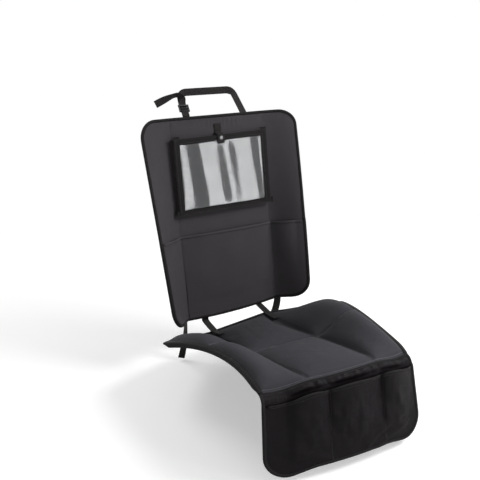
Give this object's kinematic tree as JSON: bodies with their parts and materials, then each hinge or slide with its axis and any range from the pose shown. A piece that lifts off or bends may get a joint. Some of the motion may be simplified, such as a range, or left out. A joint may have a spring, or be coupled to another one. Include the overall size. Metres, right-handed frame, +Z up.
{
  "type": "car seat protector",
  "caption": "Fabric protector in its worn shape: reclined back panel with window and storage pockets, quilted seat pad, hanging front flap with pockets, and webbing straps.",
  "frame": {"origin": "on the underside of the seat pad, on its centre line where the cross seam is; this flat face lies on a seat cushion that rises 15 degrees to the front", "axes": "+Z up, -Y towards the front flap, +Y towards the back panel, +X to the right as seen from the front"},
  "size_m": [0.5412, 0.7851, 0.7239],
  "materials": {
    "black_polyester": "black woven polyester, matt",
    "black_nylon": "black nylon weave, slight sheen",
    "charcoal_quilting": "charcoal woven polyester, stitched over foam",
    "black_lining": "black non-woven lining",
    "grip_backing": "black cloth with rubber grip dots",
    "grey_foam": "open-cell foam",
    "binding_tape": "black woven binding tape",
    "black_webbing": "black woven webbing",
    "clear_film": "clear soft vinyl film",
    "black_plastic": "moulded black plastic",
    "stud_steel": "plated steel press stud"
  },
  "bodies": {
    "root": {"anchor_strap_left": "black_webbing", "anchor_strap_right": "black_webbing", "back_binding": "binding_tape", "back_lining": "black_lining", "back_panel": "black_polyester", "closure_tab": "black_webbing", "flap_binding": "binding_tape", "flap_pocket": "black_nylon", "flap_pocket_hem": "binding_tape", "foam_front_centre": "grey_foam", "foam_front_left": "grey_foam", "foam_front_right": "grey_foam", "foam_rear_centre": "grey_foam", "foam_rear_left": "grey_foam", "foam_rear_right": "grey_foam", "front_flap": "black_nylon", "link_strap_left": "black_webbing", "link_strap_right": "black_webbing", "seat_backing": "grip_backing", "seat_binding": "binding_tape", "seat_cover": "charcoal_quilting", "storage_pocket": "black_polyester", "storage_pocket_hem": "binding_tape", "strap_buckle": "black_plastic", "stud_cap": "stud_steel", "stud_socket": "stud_steel", "upper_strap_left": "black_webbing", "upper_strap_right": "black_webbing", "window_film": "clear_film", "window_frame": "black_polyester", "window_gusset": "black_polyester"}
  },
  "joints": []
}
